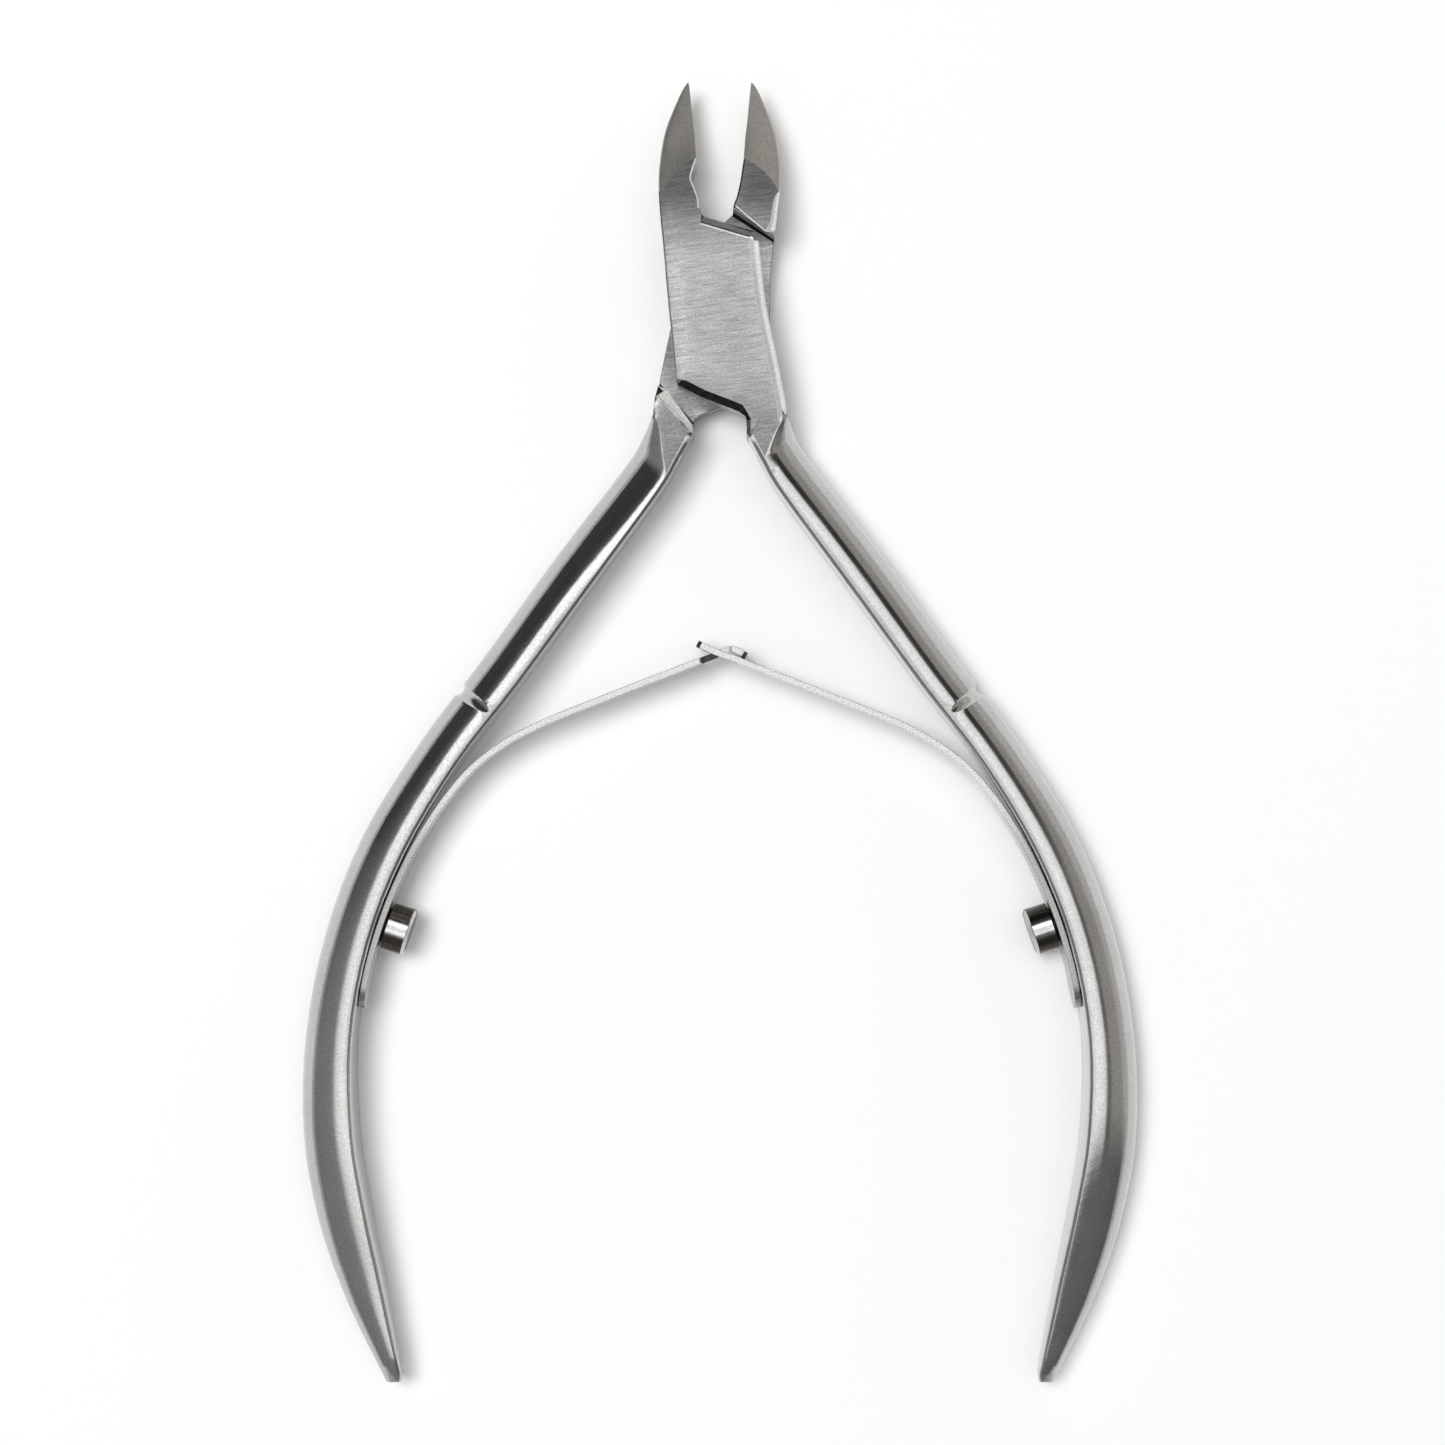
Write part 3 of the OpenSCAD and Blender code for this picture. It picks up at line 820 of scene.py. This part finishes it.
def rivet_piece():
    """The rivet, ground flush with the lap faces."""
    flare = RIVET_END_R - RIVET_R
    profile = [(CORE, BOTTOM), (RIVET_END_R, BOTTOM), (RIVET_R, flare), (RIVET_R, THICK - flare),
               (RIVET_END_R, TOP), (CORE, TOP)]
    vertices, faces = lathe(profile)
    return put("rivet_body", vertices, faces, [BRUSHED])


LEAF_THICK = 0.5
LEAF_WIDTH = 4.0
# The middle line of the right leaf from its screwed end, and how each leaf goes on to its tip.
LEAF_ROUTE = [(28.58, -55), (28.05, -52), (27.13, -48.7), (25.88, -45.4), (24.05, -41.7), (21.6, -38),
              (19, -35.2), (15.1, -32.7), (8.8, -30.1), (1.6, -27.3)]
CURLED_TIP = [(0.2, -26.8), (-0.9, -26.35), (-1.8, -25.9)]
ARCHED_TIP = [(0.5, -26.88), (-0.1, -26.6), (-1, -26.35), (-2.1, -26.9)]
# Where the left leaf's neck lies, measured back from its end, and half its width.
NECK_SPAN = (1.35, 3.95)
NECK_HALF = 0.7
# The right leaf's slot: half its width, how far its rounded ends bulge, and half its straight length.
SLOT_HALF = 1.0
SLOT_END = 0.35
SLOT_REACH = 1.1
SCREW_AT = (26.99, -48.27)
SCREW_HEADING = 198.7
HEAD_R = 1.9
HEAD_H = 2.1


def leaf_width(length, left, neck):
    """Half the width of a leaf at a length from its screwed end, with left still to go.

    Its corners are rounded widely at the screwed end and slightly at the other.
    """
    half = LEAF_WIDTH / 2
    for d, corner in ((length, 1.95), (left, 0.45)):
        if d < corner:
            half = min(half, LEAF_WIDTH / 2 - corner + math.sqrt(max(0.0, corner ** 2 - (corner - d) ** 2)))
    if neck:
        into = min(left - neck[0], neck[1] - left)
        if into > 0:
            half -= (LEAF_WIDTH / 2 - NECK_HALF) * min(1.0, into / 0.15)
    return half


def leaf_piece(name, tip, neck, slotted, mirrored):
    """A bent strip with rounded ends, a screw hole and either a neck or a slot."""
    middle = spline(LEAF_ROUTE + tip, 10)
    gaps = np.linalg.norm(np.diff(middle, axis=0), axis=1)
    lengths = np.concatenate([[0], np.cumsum(gaps)])
    total = lengths[-1]
    first_marks = [0.02, 0.06, 0.13, 0.25, 0.4, 0.6, 0.85, 1.15, 1.5]
    wide_marks = np.arange(1.95, total - 5, 0.5)
    close_marks = np.arange(total - 5, total - 0.5, 0.12)
    last_marks = total - np.array([0.45, 0.3, 0.18, 0.09, 0.04, 0.01])
    marks = sorted(set(np.round(np.concatenate([first_marks, wide_marks, close_marks, last_marks]), 3)))
    t, r = LEAF_THICK / 2, 0.04
    rings = []
    for d in marks:
        x, y = (np.interp(d, lengths, middle[:, k]) for k in (0, 1))
        ahead = [np.interp(min(d + 0.3, total), lengths, middle[:, k]) for k in (0, 1)]
        behind = [np.interp(max(d - 0.3, 0), lengths, middle[:, k]) for k in (0, 1)]
        tx, ty = unit(np.subtract(ahead, behind))
        half = leaf_width(d, total - d, neck)
        section = [(t - r, half), (t, half - r), (t, -half + r), (t - r, -half),
                   (r - t, -half), (-t, r - half), (-t, half - r), (r - t, half)]
        rings.append([(x - ty * n, y + tx * n, MID + w) for n, w in section])
    vertices, faces, where = skin(rings)
    if mirrored:
        vertices = [(-x, y, z) for x, y, z in vertices]
    slots = []
    for i, _ in where:
        left = total - marks[i]
        # The tip end, cut by shearing, and painted shade on the half of the neck away from the tip get the
        # darker steel.
        darkened = left < 0.4 or neck and sum(neck) / 2 - 0.2 < left < neck[1]
        slots.append(1 if darkened else 0)
    piece = put(name, vertices, faces, [SPRING, SHEAR_AND_SHADE], slots)
    sign = -1 if mirrored else 1
    heading = 180 - SCREW_HEADING if mirrored else SCREW_HEADING
    hole, hole_faces = lathe([(CORE, -2), (1.0, -2), (1.0, 2), (CORE, 2)], 48)
    hole = place(hole, (sign * SCREW_AT[0], SCREW_AT[1]), heading)
    cut(piece, put("cutter", hole, hole_faces, [SPRING]))
    if slotted:
        cut(piece, slot_cutter())
    return piece


def slot_cutter():
    """The round-ended slot near the end of the right leaf."""
    turn = math.radians(-20)
    centre = (0.1, -26.8)
    outline = []
    for side in (1, -1):
        for k in range(13):
            a = math.radians(180 * k / 12 - 90 * side)
            outline.append((side * SLOT_REACH + SLOT_END * math.cos(a), SLOT_HALF * math.sin(a)))
    rings = []
    for n in (-1.5, 1.5):
        rings.append([(centre[0] + u * math.cos(turn) - n * math.sin(turn),
                       centre[1] + u * math.sin(turn) + n * math.cos(turn), MID + w) for u, w in outline])
    vertices, faces, _ = skin(rings)
    return put("cutter", vertices, faces, [SPRING])


def screw_piece(name, mirrored):
    """A cheese-head screw with a turned chamfer and a slot."""
    base = LEAF_THICK / 2 + 0.02
    face = base + HEAD_H
    under = base + 0.16
    chamfer = 0.24
    profile = [(CORE, -2.2), (0.9, -2.2), (0.9, base), (1.4, base), (1.4, under), (HEAD_R - 0.08, under),
               (HEAD_R, under + 0.08), (HEAD_R, face - chamfer), (HEAD_R - 0.1, face - 0.12),
               (HEAD_R - 0.14, face - 0.1), (HEAD_R - chamfer, face), (CORE, face)]
    # Rows of the profile: near-black painted shade up to the underside of the head, polished on the
    # chamfer.
    painted_shade_rows, rim_rows = range(5), range(7, 10)
    sides = 96
    vertices, faces = lathe(profile, sides)
    slots = []
    for i in range(len(faces)):
        row = i // sides
        slots.append(1 if row in rim_rows else 2 if row in painted_shade_rows else 0)
    sign = -1 if mirrored else 1
    centre = (sign * SCREW_AT[0], SCREW_AT[1])
    heading = 180 - SCREW_HEADING if mirrored else SCREW_HEADING
    piece = put(name, place(vertices, centre, heading), faces, [TURNED, POLISHED, PAINTED_SHADE], slots)
    x, y = 0.27, 3.0
    box = [[(-x, -y, z), (x, -y, z), (x, y, z), (-x, y, z)] for z in (face - 0.6, face + 0.5)]
    slot_vertices, slot_faces, _ = skin(box)
    cut(piece, put("cutter", place(slot_vertices, centre, heading), slot_faces, [TURNED]))
    return piece


# ---------------------------------------------------------------- pieces on their bodies

front = half_piece("front_half_body", 1)
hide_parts("front_half")
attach(front, "front_half")

rear = half_piece("rear_half_body", -1)
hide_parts("rear_half")
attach(rear, "rear_half")

rivet = rivet_piece()
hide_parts("pivot_rivet")
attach(rivet, "rear_half")

SIDES = (("left", "left_spring", "rear_half"), ("right", "right_spring", "front_half"))
for side, body, handle_body in SIDES:
    left = side == "left"
    tip = ARCHED_TIP if left else CURLED_TIP
    leaf = leaf_piece(side + "_leaf", tip, NECK_SPAN if left else None, slotted=not left, mirrored=left)
    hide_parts(side + "_leaf_spring")
    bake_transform(leaf)
    screw = screw_piece(side + "_screw", left)
    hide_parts(side + "_spring_screw")
    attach(screw, handle_body)


# ---------------------------------------------------------------- floor, light and camera

def floor():
    """A plain pale floor under the part."""
    m, _, shader = material("floor", (0.9, 0.9, 0.9), 0.7, 0.0)
    shader.inputs["Emission Color"].default_value = (1, 1, 1, 1)
    shader.inputs["Emission Strength"].default_value = 0.05
    mesh = bpy.data.meshes.new("floor")
    reach = 3.0
    corners = [(-reach, -reach, 0), (reach, -reach, 0), (reach, reach, 0), (-reach, reach, 0)]
    mesh.from_pydata(corners, [], [(0, 1, 2, 3)])
    mesh.materials.append(m)
    plane = bpy.data.objects.new("floor", mesh)
    bpy.context.scene.collection.objects.link(plane)


def softbox(name, place_m, aim_m, size, power):
    """An area light that faces a point. The steel mirrors the surround, and not this lamp."""
    light = bpy.data.lights.new(name, "AREA")
    light.shape = "RECTANGLE"
    light.size, light.size_y = size
    light.energy = power
    lamp = bpy.data.objects.new(name, light)
    lamp.location = place_m
    lamp.rotation_euler = (Vector(aim_m) - Vector(place_m)).to_track_quat("-Z", "Y").to_euler()
    lamp.visible_glossy = False
    bpy.context.scene.collection.objects.link(lamp)


def sky(tree, height, levels):
    """Levels by height, from the horizon at 0 to overhead at 1."""
    node = tree.nodes.new("ShaderNodeValToRGB")
    tree.links.new(height, node.inputs["Fac"])
    stops = node.color_ramp.elements
    for i, (at, level, warm) in enumerate(levels):
        stop = stops[i] if i < 2 else stops.new(at)
        stop.position = at
        stop.color = (level * (1 + warm), level, level * (1 - warm), 1)
    return node.outputs["Color"]


def blend_by(tree, value, start, end, first, second):
    """Two colours, blended as the value goes from start to end."""
    spread = tree.nodes.new("ShaderNodeMapRange")
    spread.inputs["From Min"].default_value = start
    spread.inputs["From Max"].default_value = end
    tree.links.new(value, spread.inputs["Value"])
    mix = tree.nodes.new("ShaderNodeMix")
    mix.data_type = "RGBA"
    tree.links.new(spread.outputs["Result"], mix.inputs[0])
    tree.links.new(first, mix.inputs[6])
    tree.links.new(second, mix.inputs[7])
    return mix.outputs[2]


# The surround by height, as (height, grey level, warmth): its two ends first, then what lies between.
UPPER_LEFT = [(0.0, 0.62, 0), (1.0, 0.85, 0), (0.13, 0.58, 0), (0.16, 0.07, 0), (0.7, 0.06, 0),
              (0.855, 0.1, 0), (0.885, 2.3, 0), (0.96, 2.4, 0), (0.985, 0.9, 0)]
LOWER_LEFT = [(0.0, 0.62, 0), (1.0, 0.85, 0), (0.14, 0.5, 0), (0.19, 0.27, 0), (0.7, 0.3, 0),
              (0.82, 0.35, 0), (0.9, 1.2, 0), (0.96, 1.5, 0), (0.985, 0.9, 0)]
UPPER_RIGHT = [(0.0, 0.65, 0), (1.0, 0.85, 0), (0.36, 0.6, 0.02), (0.44, 0.4, 0.06), (0.66, 0.36, 0.08),
               (0.7, 0.05, 0), (0.82, 0.05, 0), (0.86, 1.2, 0), (0.96, 1.5, 0), (0.985, 0.9, 0)]
LOWER_RIGHT = [(0.0, 0.65, 0), (1.0, 0.85, 0), (0.25, 0.58, 0.02), (0.35, 0.42, 0.05), (0.72, 0.38, 0.07),
               (0.77, 0.18, 0), (0.82, 0.18, 0), (0.86, 1.2, 0), (0.96, 1.5, 0), (0.985, 0.9, 0)]
BELOW = [(0.0, 0.62, 0), (1.0, 0.85, 0), (0.13, 0.55, 0), (0.2, 0.15, 0), (0.92, 0.2, 0), (0.965, 0.9, 0)]


def world():
    """A soft surround: a bright ring high up, darkest on the upper left below it, greyer on the right."""
    w = bpy.data.worlds.new("world")
    w.use_nodes = True
    tree = w.node_tree
    coords = tree.nodes.new("ShaderNodeTexCoord")
    split = tree.nodes.new("ShaderNodeSeparateXYZ")
    tree.links.new(coords.outputs["Generated"], split.inputs["Vector"])
    along_x, along_y, height = split.outputs["X"], split.outputs["Y"], split.outputs["Z"]
    upper_left, lower_left = sky(tree, height, UPPER_LEFT), sky(tree, height, LOWER_LEFT)
    upper_right, lower_right = sky(tree, height, UPPER_RIGHT), sky(tree, height, LOWER_RIGHT)
    below = sky(tree, height, BELOW)
    left = blend_by(tree, along_y, 0.02, 0.4, lower_left, upper_left)
    right = blend_by(tree, along_y, 0.15, 0.35, lower_right, upper_right)
    whole_right = blend_by(tree, along_y, -0.3, -0.12, below, right)
    both = blend_by(tree, along_x, -0.15, 0.15, left, whole_right)
    tree.links.new(both, tree.nodes["Background"].inputs["Color"])
    bpy.context.scene.world = w


def camera():
    """Straight down on the middle of the object, as far away as the view of it needs."""
    data = bpy.data.cameras.new("camera")
    data.angle = math.radians(25)
    data.clip_start = 0.01
    cam = bpy.data.objects.new("camera", data)
    view_width = 0.1156
    distance = view_width / 2 / math.tan(data.angle / 2)
    cam.location = (0.0002, -0.0322, MID * MM + distance)
    bpy.context.scene.collection.objects.link(cam)
    bpy.context.scene.camera = cam


floor()
world()
softbox("key", place_m=(-0.27, 0.12, 1.0), aim_m=(0, -0.03, 0), size=(0.4, 0.4), power=6.6)
camera()
bpy.context.scene.view_settings.view_transform = "Standard"
